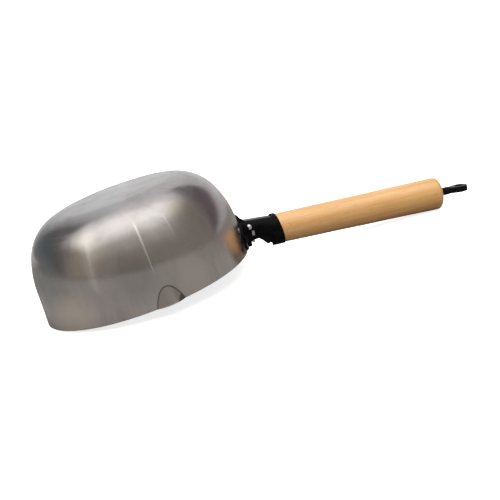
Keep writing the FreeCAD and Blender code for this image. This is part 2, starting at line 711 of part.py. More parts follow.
# ---------------------------------------------------------------- grip
SEAT = "$socket_radius - $socket_sheet - $seat_gap"
grip = new_body("grip")
grip_turned(grip, "grip_blank", [
    ("-$tenon_length", "$tenon_radius"),
    ("-$neck_end + $seat_setback", "$tenon_radius"),
    ("-$neck_end + $seat_setback", SEAT),
    ("$grip_shoulder", SEAT),
    ("$grip_shoulder", "$grip_front_radius"),
    ("$grip_length - $grip_edge", "$grip_tail_radius"),
    ("$grip_length", "$grip_tail_radius - $grip_edge", "$grip_edge", -1),
])
grip_turned(grip, "grip_bore", [
    ("-$tenon_length - " + PAST, "$rod_radius + $rod_gap"),
    ("$grip_length + " + PAST, "$rod_radius + $rod_gap"),
], cut=True)
grip_turned(grip, "grip_recess", [
    ("$grip_length - $recess_depth", "$washer_radius + $recess_gap"),
    ("$grip_length + " + PAST, "$washer_radius + $recess_gap"),
], cut=True)

# ---------------------------------------------------------------- rivets
def dome(head_radius, rise):
    """Radius of a domed head of the given radius and rise."""
    return "(((%s) ^ 2 + (%s) ^ 2) / (2 * (%s)))" % (head_radius, rise, rise)


def rivet_blank(body, sketch, low, high, shank, head, low_rise, high_rise, upright):
    """Two-headed rivet about an axis drawn in the sketch, from one head's seat to the other's.

    Low and high are where the heads start along the axis.  Upright holds where that axis stands
    and whether it is the sketch's vertical.
    """
    stands, vertical = upright
    profile = [
        ("0", "%s - (%s)" % (low, low_rise)),
        (head, low, dome(head, low_rise), 1),
        (shank, low),
        (shank, high),
        (head, high),
        ("0", "%s + (%s)" % (high, high_rise), dome(head, high_rise), 1),
    ]
    if vertical:
        steps = [("%s + (%s)" % (stands, step[0]), step[1]) + step[2:] for step in profile]
        ends = [(value(stands), value(low)), (value(stands), value(high))]
    else:
        steps = [(step[1], "%s - (%s)" % (stands, step[0])) + step[2:] for step in profile]
        ends = [(value(low), value(stands)), (value(high), value(stands))]
    add_outline(sketch, steps)
    start, end = (Vector(*point, 0) for point in ends)
    sketch.addGeometry(Part.LineSegment(start, end), True)
    step_volume(body, turn(body, body.Label + "_turned", sketch, axis="Axis0"), grows=True)


def cut_from(blank, tool, label):
    """Take one piece's shape out of another, so that the two meet face to face."""
    result = doc.addObject("Part::Cut", label)
    result.Base = blank
    result.Tool = tool
    return result


# The heads' seats are drawn inside the sheets, so that the cuts give them the sheets' own faces.
cross_blank = new_body("cross_rivet_blank")
cross_plan = eye_sketch(cross_blank, "cross_rivet_plan", CROSS_HEIGHT)
SEAT_ACROSS = ("(%s - 0.5 * $bracket_sheet)"
               % neck_half_width("$socket_distance - $cross_rivet_ahead"))
CROSS_RISE = "$cross_head_height + 0.5 * $bracket_sheet"
rivet_blank(cross_blank, cross_plan, "-" + SEAT_ACROSS, SEAT_ACROSS, "$cross_rivet_radius",
            "$cross_head_radius", CROSS_RISE, CROSS_RISE, ("-$cross_rivet_ahead", True))
cross_rivet = cut_from(cross_blank, bracket, "cross_rivet")

WALL_AT_RIVET = wall_radius("$flange_rivet_height")
ear_blanks = []
for side, hand in ((1, "left"), (-1, "right")):
    blank = new_body("ear_rivet_blank_" + hand)
    radial = new_sketch(blank, "ear_rivet_plan_" + hand, "XZ_Plane",
                        Placement(Vector(0, 0, 0), Rotation(Vector(0, 1, 0), side * BEARING)))
    rivet_blank(blank, radial, "(%s - 0.5 * $bowl_sheet)" % WALL_AT_RIVET,
                "(%s + 0.5 * $bracket_sheet)" % WALL_AT_RIVET, "$flange_rivet_radius",
                "$flange_head_radius", "$flange_tail_height + 0.5 * $bowl_sheet",
                "$flange_head_height + 0.5 * $bracket_sheet", ("$flange_rivet_height", False))
    ear_blanks.append(blank)
ear_pair = doc.addObject("Part::Compound", "ear_rivet_pair")
ear_pair.Links = ear_blanks
outside_fit = cut_from(ear_pair, bracket, "ear_rivets_on_bracket")
flange_rivets = cut_from(outside_fit, bowl, "flange_rivets")

# ---------------------------------------------------------------- rest pose
drawn = [bowl, bracket, bridge, nut, rod, washer, grip, cross_blank] + ear_blanks
subparts = [bowl, bracket, flange_rivets, bridge, cross_rivet, nut, rod, washer, grip]
doc.recompute()

# The ladle leans on the rim's edge away from the handle and on the rounded tail of the grip.
edge = value("$grip_edge")
tail = grip_frame.multVec(Vector(value("$grip_length") - edge, 0,
                                 edge - value("$grip_tail_radius")))
pivot = Vector(-value("$rim_radius"), 0, 0)
arm = tail - pivot
tilt = math.degrees(math.atan2(-arm.z, arm.x) + math.asin(edge / arm.Length))
tipping = Placement(Vector(0, 0, 0), Rotation(Vector(0, 1, 0), -tilt), pivot)
whole = Part.makeCompound([item.Shape for item in subparts])
whole.Placement = tipping
box = whole.optimalBoundingBox()
to_origin = Vector(-(box.XMin + box.XMax) / 2, -(box.YMin + box.YMax) / 2, -box.ZMin)
rest = Placement(to_origin, Rotation()).multiply(tipping)
for item in drawn:
    item.Placement = rest
doc.recompute()

# ---------------------------------------------------------------- checks and export
faults = [item.Name for item in doc.Objects
          if "Invalid" in item.State or "Error" in item.State]
for item in subparts:
    if item.Shape.isNull() or not item.Shape.isValid():
        faults.append(item.Label)
if faults:
    raise RuntimeError("not built: " + ", ".join(faults))
os.makedirs("parts", exist_ok=True)
for item in subparts:
    item.Shape.exportStep("parts/%s.step" % item.Label)
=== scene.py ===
"""Mason's ladle, lying upside down: the looks of its steel bowl, bracket, rod and wooden grip."""
import json
import math
import bpy
import bmesh
from mathutils import Matrix, Vector, noise


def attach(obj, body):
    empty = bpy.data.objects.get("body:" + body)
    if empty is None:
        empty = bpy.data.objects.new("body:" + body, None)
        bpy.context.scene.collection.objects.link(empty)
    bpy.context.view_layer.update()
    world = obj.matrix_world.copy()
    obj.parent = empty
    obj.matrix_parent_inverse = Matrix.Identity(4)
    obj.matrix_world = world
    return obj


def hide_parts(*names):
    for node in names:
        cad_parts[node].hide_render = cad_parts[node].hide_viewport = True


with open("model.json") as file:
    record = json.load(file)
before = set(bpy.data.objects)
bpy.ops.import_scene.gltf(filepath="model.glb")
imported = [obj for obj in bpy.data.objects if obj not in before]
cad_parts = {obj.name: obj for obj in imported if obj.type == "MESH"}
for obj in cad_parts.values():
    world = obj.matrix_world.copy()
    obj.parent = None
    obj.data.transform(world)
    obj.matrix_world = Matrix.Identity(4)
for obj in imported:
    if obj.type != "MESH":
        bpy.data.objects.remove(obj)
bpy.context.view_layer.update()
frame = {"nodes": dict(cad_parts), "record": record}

# ---------------------------------------------------------------- frames, in metres
MM = 0.001
# Angle between the grip and the plane of the bowl's rim.
GRIP_DROOP = math.radians(9.6)
# Middle of the socket's mouth, from the rim circle's centre.
SOCKET_IN_LADLE = Vector((123.4, 0.0, 1.65)) * MM
# Middle of the hanging eye, from the socket's mouth along the grip.
EYE_FROM_SOCKET = 173.4 * MM

mounts = {mount["name"]: mount for mount in frame["record"]["mounts"]}
eye_place = Vector(mounts["hanging_eye"]["pos_m"])
grip_up = Vector(mounts["hanging_eye"]["axis"]).normalized()
grip_along = Vector((grip_up.z, 0.0, -grip_up.x))
socket_place = eye_place - grip_along * EYE_FROM_SOCKET
GRIP_FALL = math.atan2(grip_up.x, grip_up.z)
LADLE_TURN = Matrix.Rotation(GRIP_FALL - GRIP_DROOP, 4, "Y")
rim_centre = socket_place - LADLE_TURN @ SOCKET_IN_LADLE
# Ladle frame: rim circle's centre, +Z to the base, +X to the handle.
LADLE = Matrix.Translation(rim_centre) @ LADLE_TURN
# Grip frame: middle of the socket's mouth, +X to the tail, +Z up.
GRIP = Matrix.Translation(socket_place) @ Matrix.Rotation(GRIP_FALL, 4, "Y")

# ---------------------------------------------------------------- bowl sizes, in mm
# The section is a straight wall, two shoulder arcs and a slightly crowned base.
RIM_RADIUS = 90.0
BOWL_HEIGHT = 83.8
WALL_HEIGHT = 28.4
WALL_DRAFT = math.radians(2.5)
SHOULDER_WIDE = 83.4
SHOULDER_TIGHT = 40.4
BASE_RADIUS = 630.0
BOWL_SHEET = 1.0
RIM_ROUND = 0.28
EDGE_LIFT = 0.04

# Pour lips: bearing from the handle in degrees, and how they blend into the wall.
LIP_BEARING = 86.4
LIP_RADIUS = 16.0
LIP_REACH = 4.2
LIP_HEIGHT = 14.7
LIP_BLEND = 0.5
# The blend and the crease of a lip end this far above it.
LIP_CLEAR = 3.0

# Pressed crease round each lip, where the lip's skin leaves the wall's. A place is measured
# from it by the gap between the two skins and how steeply that gap opens.
# Along this crease the steel is also painted dark, as painted shade.
CREASE_WIDTH = 0.75
CREASE_DEPTH = 0.10
CREASE_SEARCH = 1.5
SLOPE_STEP = 0.2
LEAST_SLOPE = 0.05
# Painted shade at a lip's corner. Its bearing is in degrees from the lip's middle.
CORNER_BEARING = 7.4
CORNER_WIDTH = 8.0
CORNER_HEIGHT = 8.0
CORNER_FADE = 0.8
CORNER_SHADE = 0.75

# The sheet's unevenness fades out this near the rim's plane and the axis.
RIPPLE_FADE = 12.0

# Creases up the wall: bearing in degrees, low and high end, width and rise in mm, and how
# strong their painted highlight is.
WALL_CREASES = (
    (-89.0, 25.0, 68.0, 1.15, 0.16, 0.80),
    (-71.5, 40.0, 66.0, 1.10, 0.08, 0.25),
    (-119.0, 24.0, 80.0, 10.0, 0.12, 0.34),
    (-118.5, 26.0, 66.0, 1.70, 0.08, 0.35),
)
# Heat tints, and lighter and darker patches as painted reflections: bearing in degrees, height
# and radius in mm, tint, strength.
PATCHES = (
    (-37.0, 55.0, 22.0, (0.60, 0.42, 0.46), 0.80),
    (-60.0, 61.0, 16.0, (0.46, 0.44, 0.34), 0.60),
    (-44.0, 34.0, 28.0, (0.50, 0.42, 0.42), 0.60),
    (-14.0, 44.0, 16.0, (0.50, 0.39, 0.34), 0.60),
    (-122.0, 56.0, 22.0, (0.72, 0.66, 0.54), 0.60),
    (-98.0, 29.0, 27.0, (0.38, 0.37, 0.35), 0.75),
    (-150.0, 30.0, 26.0, (0.34, 0.37, 0.37), 0.75),
    (-140.0, 7.0, 32.0, (0.74, 0.67, 0.59), 0.75),
    (-172.0, 38.0, 27.0, (0.22, 0.26, 0.26), 0.85),
    (-70.0, 20.0, 24.0, (0.60, 0.53, 0.50), 0.40),
    (-110.0, 82.0, 30.0, (0.60, 0.61, 0.63), 0.40),
    (-40.0, 12.0, 20.0, (0.62, 0.58, 0.56), 0.50),
    (95.0, 60.0, 30.0, (0.50, 0.45, 0.44), 0.45),
    (140.0, 40.0, 28.0, (0.62, 0.58, 0.50), 0.45),
    (40.0, 66.0, 24.0, (0.48, 0.40, 0.41), 0.45),
)

# ---------------------------------------------------------------- grip sizes, in mm
GRIP_LENGTH = 152.2
GRIP_FRONT_RADIUS = 13.1
GRIP_TAIL_RADIUS = 14.4
GRIP_EDGE = 3.6
GRIP_SHOULDER = 2.5
SHOULDER_SLOPE = (0.25, 0.1)
SEAT_RADIUS = 12.9
SEAT_START = -3.5
TENON_RADIUS = 9.0
TENON_LENGTH = 14.0
TENON_CHAMFER = 0.5
BORE_RADIUS = 3.4
RECESS_RADIUS = 7.2
RECESS_DEPTH = 6.0
RECESS_CHAMFER = 0.6
# Turning left the wood a little uneven.
GRIP_WAVE = 0.12

# ---------------------------------------------------------------- painted pieces, in mm
# Their CAD meshes are welded, then rebuilt in voxels and smoothed to round the edges.
WELD_REACH = 0.002
PAINT_VOXEL = 0.34
BRACKET_SMOOTHING = 4
ROD_SMOOTHING = 26


# ---------------------------------------------------------------- camera
def make_camera():
    """Camera at the photographed angle, given about the ladle's rim circle."""
    azimuth = math.radians(-10.0)
    elevation = math.radians(14.31)
    roll = math.radians(19.65)
    distance = 0.80196
    shift_right = 0.09104
    shift_up = -0.00289
    back = Vector((math.sin(azimuth) * math.cos(elevation),
                   -math.cos(azimuth) * math.cos(elevation), math.sin(elevation)))
    right = Vector((0, 0, 1)).cross(back).normalized()
    up = back.cross(right)
    place = back * distance + right * shift_right + up * shift_up
    rolled_right = right * math.cos(roll) - up * math.sin(roll)
    rolled_up = right * math.sin(roll) + up * math.cos(roll)
    pose = Matrix((rolled_right, rolled_up, back)).transposed().to_4x4()
    pose.translation = place
    data = bpy.data.cameras.new("camera")
    data.sensor_width = 36.0
    data.lens = 67.641
    data.clip_start = 0.01
    data.clip_end = 40.0
    camera = bpy.data.objects.new("camera", data)
    camera.matrix_world = LADLE @ pose
    bpy.context.scene.collection.objects.link(camera)
    bpy.context.scene.camera = camera


# ---------------------------------------------------------------- node helpers
class Nodes:
    """Short calls for building one node tree."""

    def __init__(self, tree):
        self.tree = tree

    def add(self, kind, **settings):
        node = self.tree.nodes.new(kind)
        for name, setting in settings.items():
            setattr(node, name, setting)
        return node

    def link(self, start, end):
        self.tree.links.new(start, end)

    def feed(self, socket, source):
        """Put a number, a colour or another node's output into a socket."""
        if isinstance(source, bpy.types.NodeSocket):
            self.link(source, socket)
        elif isinstance(source, tuple) and len(source) == 3 and socket.type == "RGBA":
            socket.default_value = (*source, 1)
        else:
            socket.default_value = source

    def seen(self):
        """1 for what the camera sees itself, 0 in reflections and bounced light."""
        return self.add("ShaderNodeLightPath").outputs["Is Camera Ray"]

    def place(self):
        """Coordinates in the row frame, because each piece's object sits at its origin."""
        return self.add("ShaderNodeTexCoord").outputs["Object"]

    def split(self, vector):
        node = self.add("ShaderNodeSeparateXYZ")
        self.link(vector, node.inputs[0])
        return node.outputs

    def mapping(self, vector, **settings):
        """Move, turn or scale a vector, by Location, Rotation or Scale."""
        node = self.add("ShaderNodeMapping")
        self.link(vector, node.inputs["Vector"])
        for name, setting in settings.items():
            node.inputs[name].default_value = setting
        return node.outputs[0]

    def math(self, operation, first, second=0.0, clamp=False):
        node = self.add("ShaderNodeMath", operation=operation, use_clamp=clamp)
        self.feed(node.inputs[0], first)
        self.feed(node.inputs[1], second)
        return node.outputs[0]

    def vector_math(self, operation, first, second, result="Vector"):
        node = self.add("ShaderNodeVectorMath", operation=operation)
        self.feed(node.inputs[0], first)
        self.feed(node.inputs[1], second)
        return node.outputs[result]

    def ramp(self, factor, stops, mode="LINEAR"):
        """Numbers or colours by stops, each a place from 0 to 1 and what it has there."""
        node = self.add("ShaderNodeValToRGB")
        node.color_ramp.interpolation = mode
        elements = node.color_ramp.elements
        while len(elements) < len(stops):
            elements.new(1.0)
        for element, (place, color) in zip(elements, stops):
            element.position = place
            element.color = (*color, 1) if isinstance(color, tuple) else (color, color, color, 1)
        self.feed(node.inputs[0], factor)
        return node.outputs[0]

    def mix(self, factor, first, second):
        node = self.add("ShaderNodeMix", data_type="RGBA")
        self.feed(node.inputs[0], factor)
        self.feed(node.inputs[6], first)
        self.feed(node.inputs[7], second)
        return node.outputs[2]

    def noise(self, vector, scale, detail=2.0, rough=0.5, warp=0.0):
        node = self.add("ShaderNodeTexNoise")
        self.feed(node.inputs["Vector"], vector)
        node.inputs["Scale"].default_value = scale
        node.inputs["Detail"].default_value = detail
        node.inputs["Roughness"].default_value = rough
        node.inputs["Distortion"].default_value = warp
        return node.outputs["Fac"]

    def bump(self, height, distance, strength, onto=None):
        node = self.add("ShaderNodeBump")
        node.inputs["Strength"].default_value = strength
        node.inputs["Distance"].default_value = distance
        self.feed(node.inputs["Height"], height)
        if onto is not None:
            self.feed(node.inputs["Normal"], onto)
        return node.outputs[0]

    def stretch(self, vector, scale):
        return self.mapping(vector, Scale=scale)


def place_in(nodes, piece_frame):
    """Coordinates measured in a piece's own frame."""
    back = piece_frame.inverted()
    return nodes.mapping(nodes.place(), Location=back.to_translation(), Rotation=back.to_euler())


def new_material(name):
    """Empty material: its node helper and its Principled shader."""
    material = bpy.data.materials.new(name)
    material.use_nodes = True
    return material, Nodes(material.node_tree), material.node_tree.nodes["Principled BSDF"]


# ---------------------------------------------------------------- stage and lights
def make_floor():
    """Wide table: bright white as seen, but a soft grey in what the steel reflects of it."""
    half = 14.0
    glow = 0.80
    mesh = bpy.data.meshes.new("floor")
    mesh.from_pydata([(-half, -half, 0), (half, -half, 0), (half, half, 0), (-half, half, 0)],
                     [], [(0, 1, 2, 3)])
    floor = bpy.data.objects.new("floor", mesh)
    bpy.context.scene.collection.objects.link(floor)
    material, nodes, shader = new_material("floor_white")
    seen = nodes.seen()
    side, ahead, _height = nodes.split(nodes.place())
    # What the steel reflects is dark near the ladle, and pale in a wedge behind its bowl.
    aside = nodes.math("ABSOLUTE", nodes.math("ADD", side, 0.08))
    behind = nodes.math("SUBTRACT", ahead, nodes.math("MULTIPLY", aside, 1.1))
    reflected = nodes.ramp(behind, [(0.05, (0.29, 0.28, 0.27)), (0.60, (0.75, 0.75, 0.75))])
    nodes.feed(shader.inputs["Base Color"], nodes.mix(seen, reflected, (0.8, 0.8, 0.8)))
    shader.inputs["Roughness"].default_value = 0.95
    shader.inputs["Specular IOR Level"].default_value = 0.0
    shader.inputs["Emission Color"].default_value = (1, 1, 1, 1)
    nodes.feed(shader.inputs["Emission Strength"], nodes.math("MULTIPLY", seen, glow))
    mesh.materials.append(material)


def area_light(name, place, target, size, power, tint=(1, 1, 1)):
    """Soft light whose own shape isn't mirrored in glossy surfaces."""
    data = bpy.data.lights.new(name, "AREA")
    data.shape = "RECTANGLE"
    data.size, data.size_y = size
    data.energy = power
    data.color = tint
    light = bpy.data.objects.new(name, data)
    light.location = place
    direction = Vector(target) - Vector(place)
    light.rotation_euler = direction.to_track_quat("-Z", "Y").to_euler()
    light.visible_glossy = False
    bpy.context.scene.collection.objects.link(light)


def bright_window(nodes, over, across):
    """Where the surroundings are bright, 0 to 1: less at both sides, and on the left behind."""
    in_front = nodes.ramp(across, [(0.06, 0.0), (0.13, 0.62), (0.22, 0.80), (0.45, 1.0),
                                   (0.68, 1.0), (0.77, 0.66), (0.86, 0.12), (0.92, 0.0)])
    at_back = nodes.ramp(across, [(0.28, 0.0), (0.33, 0.32), (0.42, 0.70), (0.52, 1.0),
                                  (0.66, 1.0), (0.84, 0.80), (1.00, 0.70)])
    window = nodes.mix(nodes.ramp(over, [(0.60, 0.0), (0.66, 1.0)]), in_front, at_back)
    # A dark screen on the right, above and behind the object, comes to a point on its left.
    point_over, point_across, spread = 0.700, 0.635, 1.6
    from_point = nodes.math("ABSOLUTE", nodes.math("SUBTRACT", over, point_over))
    screen = nodes.math("SUBTRACT", nodes.math("SUBTRACT", across, point_across),
                        nodes.math("MULTIPLY", from_point, spread))
    screened = nodes.ramp(nodes.math("MULTIPLY", screen, 10.0), [(0.0, 0.0), (0.40, 1.0)])
    return nodes.math("MULTIPLY", window, nodes.math("SUBTRACT", 1.0, screened))


def make_world():
    """Studio surroundings: a bright band overhead, dim sides and a dim room in front."""
    world = bpy.data.worlds.new("studio")
    bpy.context.scene.world = world
    world.use_nodes = True
    nodes = Nodes(world.node_tree)
    side, ahead, height = nodes.split(nodes.add("ShaderNodeTexCoord").outputs["Generated"])
    # Turn from the room in front of the object, over the top, to the backdrop: 0 to 1.
    toward = nodes.math("MULTIPLY", ahead, -1.0)
    over = nodes.math("DIVIDE", nodes.math("ARCTAN2", height, toward), math.pi, clamp=True)
    # From the left, 0, to the right, 1.
    across = nodes.math("ADD", nodes.math("MULTIPLY", side, 0.5), 0.5)
    bright = nodes.ramp(over, [
        (0.00, (0.28, 0.26, 0.24)), (0.11, (0.33, 0.30, 0.275)), (0.20, (0.62, 0.60, 0.57)),
        (0.28, (1.15, 1.13, 1.10)), (0.38, (1.62, 1.61, 1.59)), (0.50, (1.52, 1.52, 1.52)),
        (0.58, (1.00, 1.01, 1.02)), (0.70, (0.78, 0.79, 0.80)), (0.84, (0.67, 0.68, 0.69)),
        (1.00, (0.78, 0.79, 0.80))])
    dim = nodes.ramp(over, [
        (0.00, (0.31, 0.28, 0.25)), (0.45, (0.28, 0.25, 0.235)), (0.66, (0.15, 0.145, 0.145)),
        (0.86, (0.12, 0.14, 0.145)), (1.00, (0.22, 0.23, 0.24))])
    room = nodes.mix(bright_window(nodes, over, across), dim, bright)
    background = world.node_tree.nodes["Background"]
    nodes.link(nodes.mix(nodes.seen(), room, (1.1, 1.1, 1.1)), background.inputs["Color"])
    background.inputs["Strength"].default_value = 1.0


def make_studio():
    """Floor, surroundings and two soft lights, shown in plain colours without a film look."""
    make_floor()
    make_world()
    bowl_middle = (-0.08, 0.0, 0.05)
    handle_front = (0.05, 0.0, 0.02)
    area_light("top", (0.2, 0.4, 1.9), bowl_middle, (1.9, 1.6), 17.0)
    area_light("handle_key", (0.0, -0.75, 1.0), handle_front, (1.2, 0.9), 6.8, (1.0, 0.98, 0.96))
    view = bpy.context.scene.view_settings
    view.view_transform = "Standard"
    view.look = "None"


# ---------------------------------------------------------------- mesh helpers
def new_piece(name, mesh, material, stands_for):
    """Put a finished mesh in the scene as a piece that stands for a CAD node."""
    piece = bpy.data.objects.new(name, mesh)
    bpy.context.scene.collection.objects.link(piece)
    mesh.materials.clear()
    mesh.materials.append(material)
    for face in mesh.polygons:
        face.use_smooth = True
    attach(piece, "root")
    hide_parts(stands_for)


def face_outward(mesh):
    tool = bmesh.new()
    tool.from_mesh(mesh)
    bmesh.ops.recalc_face_normals(tool, faces=tool.faces)
    tool.to_mesh(mesh)
    tool.free()


def grid_mesh(name, rows, close_rows=False):
    """Mesh of rings: each row is a closed loop of points, or a single point at an end."""
    points = []
    starts = []
    for row in rows:
        starts.append(len(points))
        points.extend(row)
    faces = []
    pairs = list(zip(range(len(rows) - 1), range(1, len(rows))))
    if close_rows:
        pairs.append((len(rows) - 1, 0))
    for low, high in pairs:
        count = max(len(rows[low]), len(rows[high]))
        for step in range(count):
            after = (step + 1) % count
            corners = []
            for row, index in ((low, step), (low, after), (high, after), (high, step)):
                corner = starts[row] + (index if len(rows[row]) > 1 else 0)
                if corner not in corners:
                    corners.append(corner)
            faces.append(corners)
    mesh = bpy.data.meshes.new(name)
    mesh.from_pydata([tuple(point) for point in points], [], faces)
    mesh.update()
    face_outward(mesh)
    return mesh


def soften(node, name, rounds):
    """Copy of a CAD node's mesh with its sharp edges rounded, as thick paint rounds them."""
    tool = bmesh.new()
    tool.from_mesh(frame["nodes"][node].data)
    bmesh.ops.remove_doubles(tool, verts=tool.verts, dist=WELD_REACH * MM)
    rough = bpy.data.meshes.new(name + "_rough")
    tool.to_mesh(rough)
    tool.free()
    draft = bpy.data.objects.new(name + "_draft", rough)
    bpy.context.scene.collection.objects.link(draft)
    remesh = draft.modifiers.new("remesh", "REMESH")
    remesh.mode = "VOXEL"
    remesh.voxel_size = PAINT_VOXEL * MM
    smooth = draft.modifiers.new("smooth", "SMOOTH")
    smooth.factor = 0.5
    smooth.iterations = rounds
    graph = bpy.context.evaluated_depsgraph_get()
    mesh = bpy.data.meshes.new_from_object(draft.evaluated_get(graph))
    mesh.name = name
    bpy.data.objects.remove(draft)
    bpy.data.meshes.remove(rough)
    return mesh


# ---------------------------------------------------------------- bowl
def bowl_skin():
    """Points and outward directions along the bowl's outer half section, rim to crown, in mm."""
    outward = Vector((math.cos(WALL_DRAFT), math.sin(WALL_DRAFT)))
    wall_end = Vector((RIM_RADIUS - WALL_HEIGHT * math.tan(WALL_DRAFT), WALL_HEIGHT))
    wide_centre = wall_end - outward * SHOULDER_WIDE
    base_centre = Vector((0.0, BOWL_HEIGHT - BASE_RADIUS))
    # The tight shoulder's circle touches the wide one's and the base's, and lies inside both.
    span = wide_centre - base_centre
    reach = SHOULDER_WIDE - SHOULDER_TIGHT
    cosine = (((BASE_RADIUS - SHOULDER_TIGHT) ** 2 - span.length ** 2 - reach ** 2)
              / (2 * reach * span.length))
    join = math.atan2(span.y, span.x) - math.acos(cosine)
    tight_centre = wide_centre + Vector((math.cos(join), math.sin(join))) * reach
    up = (tight_centre - base_centre).normalized()
    crown_join = math.atan2(up.y, up.x)
    lip_steps, wall_steps = 46, 10
    lip_top = 19.0
    heights = [lip_top * step / lip_steps for step in range(lip_steps)]
    heights += [lip_top + (WALL_HEIGHT - lip_top) * step / wall_steps
                for step in range(wall_steps)]
    skin = []
    for height in heights:
        skin.append((Vector((RIM_RADIUS - height * math.tan(WALL_DRAFT), height)), outward))
    arcs = ((wide_centre, SHOULDER_WIDE, WALL_DRAFT, join, 24),
            (tight_centre, SHOULDER_TIGHT, join, crown_join, 26),
            (base_centre, BASE_RADIUS, crown_join, math.pi / 2, 26))
    for centre, radius, start, end, count in arcs:
        for step in range(count):
            angle = start + (end - start) * step / count
            ray = Vector((math.cos(angle), math.sin(angle)))
            skin.append((centre + ray * radius, ray))
    skin.append((Vector((0.0, BOWL_HEIGHT)), Vector((0.0, 1.0))))
    return skin


def on_bowl(bearing, height):
    """Point of the bowl's outer skin at a bearing in degrees and a height in mm."""
    point = min((entry[0] for entry in bowl_skin()), key=lambda place: abs(place.y - height))
    angle = math.radians(bearing)
    return Vector((point.x * math.cos(angle), point.x * math.sin(angle), point.y))


def lip_skin(bearing, height, inset):
    """Distance from the bowl's axis to a pour lip's skin in one direction, or None beside it."""
    lean = (LIP_REACH + LIP_HEIGHT * math.tan(WALL_DRAFT)) / LIP_HEIGHT
    centre = RIM_RADIUS + LIP_REACH - LIP_RADIUS - height * lean
    radius = LIP_RADIUS - inset
    aside = math.radians(abs(bearing) - LIP_BEARING)
    off_line = centre * math.sin(aside)
    if abs(off_line) >= radius:
        return None
    return centre * math.cos(aside) + math.sqrt(radius ** 2 - off_line ** 2)


def lip_gap(bearing, height):
    """How far a lip's outer skin stands outside the wall's, in mm; negative inside it."""
    lip = lip_skin(bearing, height, 0.0)
    if lip is None:
        return -LIP_RADIUS
    return lip - (RIM_RADIUS - height * math.tan(WALL_DRAFT))


def lip_crease(bearing, height):
    """How deep in the crease round a pour lip a place lies: 1 on its line, 0 beside it."""
    gap = lip_gap(bearing, height)
    if abs(gap) > CREASE_SEARCH:
        return 0.0
    turn = math.degrees(SLOPE_STEP / RIM_RADIUS)
    slope = math.hypot(lip_gap(bearing + turn, height) - gap,
                       lip_gap(bearing, height + SLOPE_STEP) - gap) / SLOPE_STEP
    return max(1.0 - abs(gap) / max(slope, LEAST_SLOPE) / CREASE_WIDTH, 0.0)


def lip_corner_shade(bearing, height):
    """Painted shade at a lip's corner on the handle's side, widest at the rim: 0 to 1."""
    if height >= CORNER_HEIGHT or lip_gap(bearing, height) < 0 or abs(bearing) > LIP_BEARING:
        return 0.0
    inside = (abs(bearing) - (LIP_BEARING - CORNER_BEARING)) * math.radians(1) * RIM_RADIUS
    reach = CORNER_WIDTH * (1 - height / CORNER_HEIGHT)
    return min(max((reach - inside) / CORNER_FADE, 0.0), 1.0) * CORNER_SHADE


def ripple(place):
    """Unevenness of the spun sheet at a place on the bowl, in mm: broad waves and local ones."""
    broad_rise, local_rise = 0.34, 0.12
    broad = noise.noise(place * 0.020 + Vector((3.1, 0.7, 5.3))) * broad_rise
    local = noise.noise(place * 0.055 + Vector((9.4, 2.2, 1.8))) * local_rise
    return broad + local


def wall_crease(bearing, height):
    """Rise of the wall's creases at a place, in mm, and how strong its painted highlight is
    there.
    """
    rise, painted_crease_highlight = 0.0, 0.0
    for middle, low, high, width, top, bright in WALL_CREASES:
        along = (height - (low + high) / 2) / ((high - low) / 2)
        if abs(along) >= 1:
            continue
        # A crease is a tenth as wide at its low end as at its high end.
        reach = width * (0.55 + 0.45 * along)
        across = math.radians(bearing - middle) * RIM_RADIUS / reach
        if abs(across) < 3:
            share = math.exp(-across ** 2) * (1 - along ** 2)
            rise += top * share
            # Painted highlight along the crease, added to the steel's colour.
            painted_crease_highlight += bright * min(share * 1.4, 1.0)
    return rise, painted_crease_highlight


def bowl_bearings():
    """Bearings of the bowl's meridians, in degrees, close together at the pour lips."""
    near_lip = 9.5
    bearings = []
    bearing = -180.0
    while bearing < 180.0 - 1e-6:
        bearings.append(bearing)
        bearing += 0.25 if abs(abs(bearing) - LIP_BEARING) < near_lip else 1.0
    return bearings


def smooth_max(first, second, blend):
    """Greater of two numbers, rounded off where they come within blend of each other."""
    overlap = max(blend - abs(first - second), 0.0) / blend
    return max(first, second) + overlap ** 2 * blend / 4


def bowl_ring(point, outward, inset, bearings):
    """One loop of the bowl's skin, or the crown's single point, and the painted light at each
    point.

    Above 0 is a painted highlight, and below 0 it is painted shade at a lip's crease and corner.
    """
    flat = point - outward * inset
    if flat.x < 0.01:
        return [Vector((0.0, 0.0, flat.y)) * MM], [0.0]
    at_lips = flat.y < LIP_HEIGHT + LIP_CLEAR
    ring = []
    brightening = []
    for bearing in bearings:
        angle = math.radians(bearing)
        ray = Vector((math.cos(angle), math.sin(angle), 0.0))
        distance = flat.x
        lip = lip_skin(bearing, flat.y, inset) if at_lips else None
        if lip is not None:
            distance = smooth_max(lip, distance, LIP_BLEND)
        place = ray * distance + Vector((0.0, 0.0, flat.y))
        normal = ray * outward.x + Vector((0.0, 0.0, outward.y))
        fade = min(flat.y / RIPPLE_FADE, 1.0) * min(distance / RIPPLE_FADE, 1.0)
        rise, painted_crease_highlight = wall_crease(bearing, flat.y)
        fold = lip_crease(bearing, flat.y) if at_lips else 0.0
        push = (ripple(place) + rise) * fade - CREASE_DEPTH * fold * min(flat.y, 1.0)
        ring.append((place + normal * push) * MM)
        # Painted highlight on the wall's creases, less painted shade in a lip's crease and at its
        # corner.
        brightening.append(painted_crease_highlight - max(fold, lip_corner_shade(bearing, flat.y)))
    return ring, brightening


def rim_edge(outer_ring, inner_ring):
    """Two loops under the rim that round its edge from the outer skin to the inner one."""
    loops = []
    for share in (0.25, 0.75):
        loop = []
        for near, far in zip(outer_ring, inner_ring):
            point = near.lerp(far, share)
            point.z = EDGE_LIFT * MM
            loop.append(point)
        loops.append(loop)
    return loops


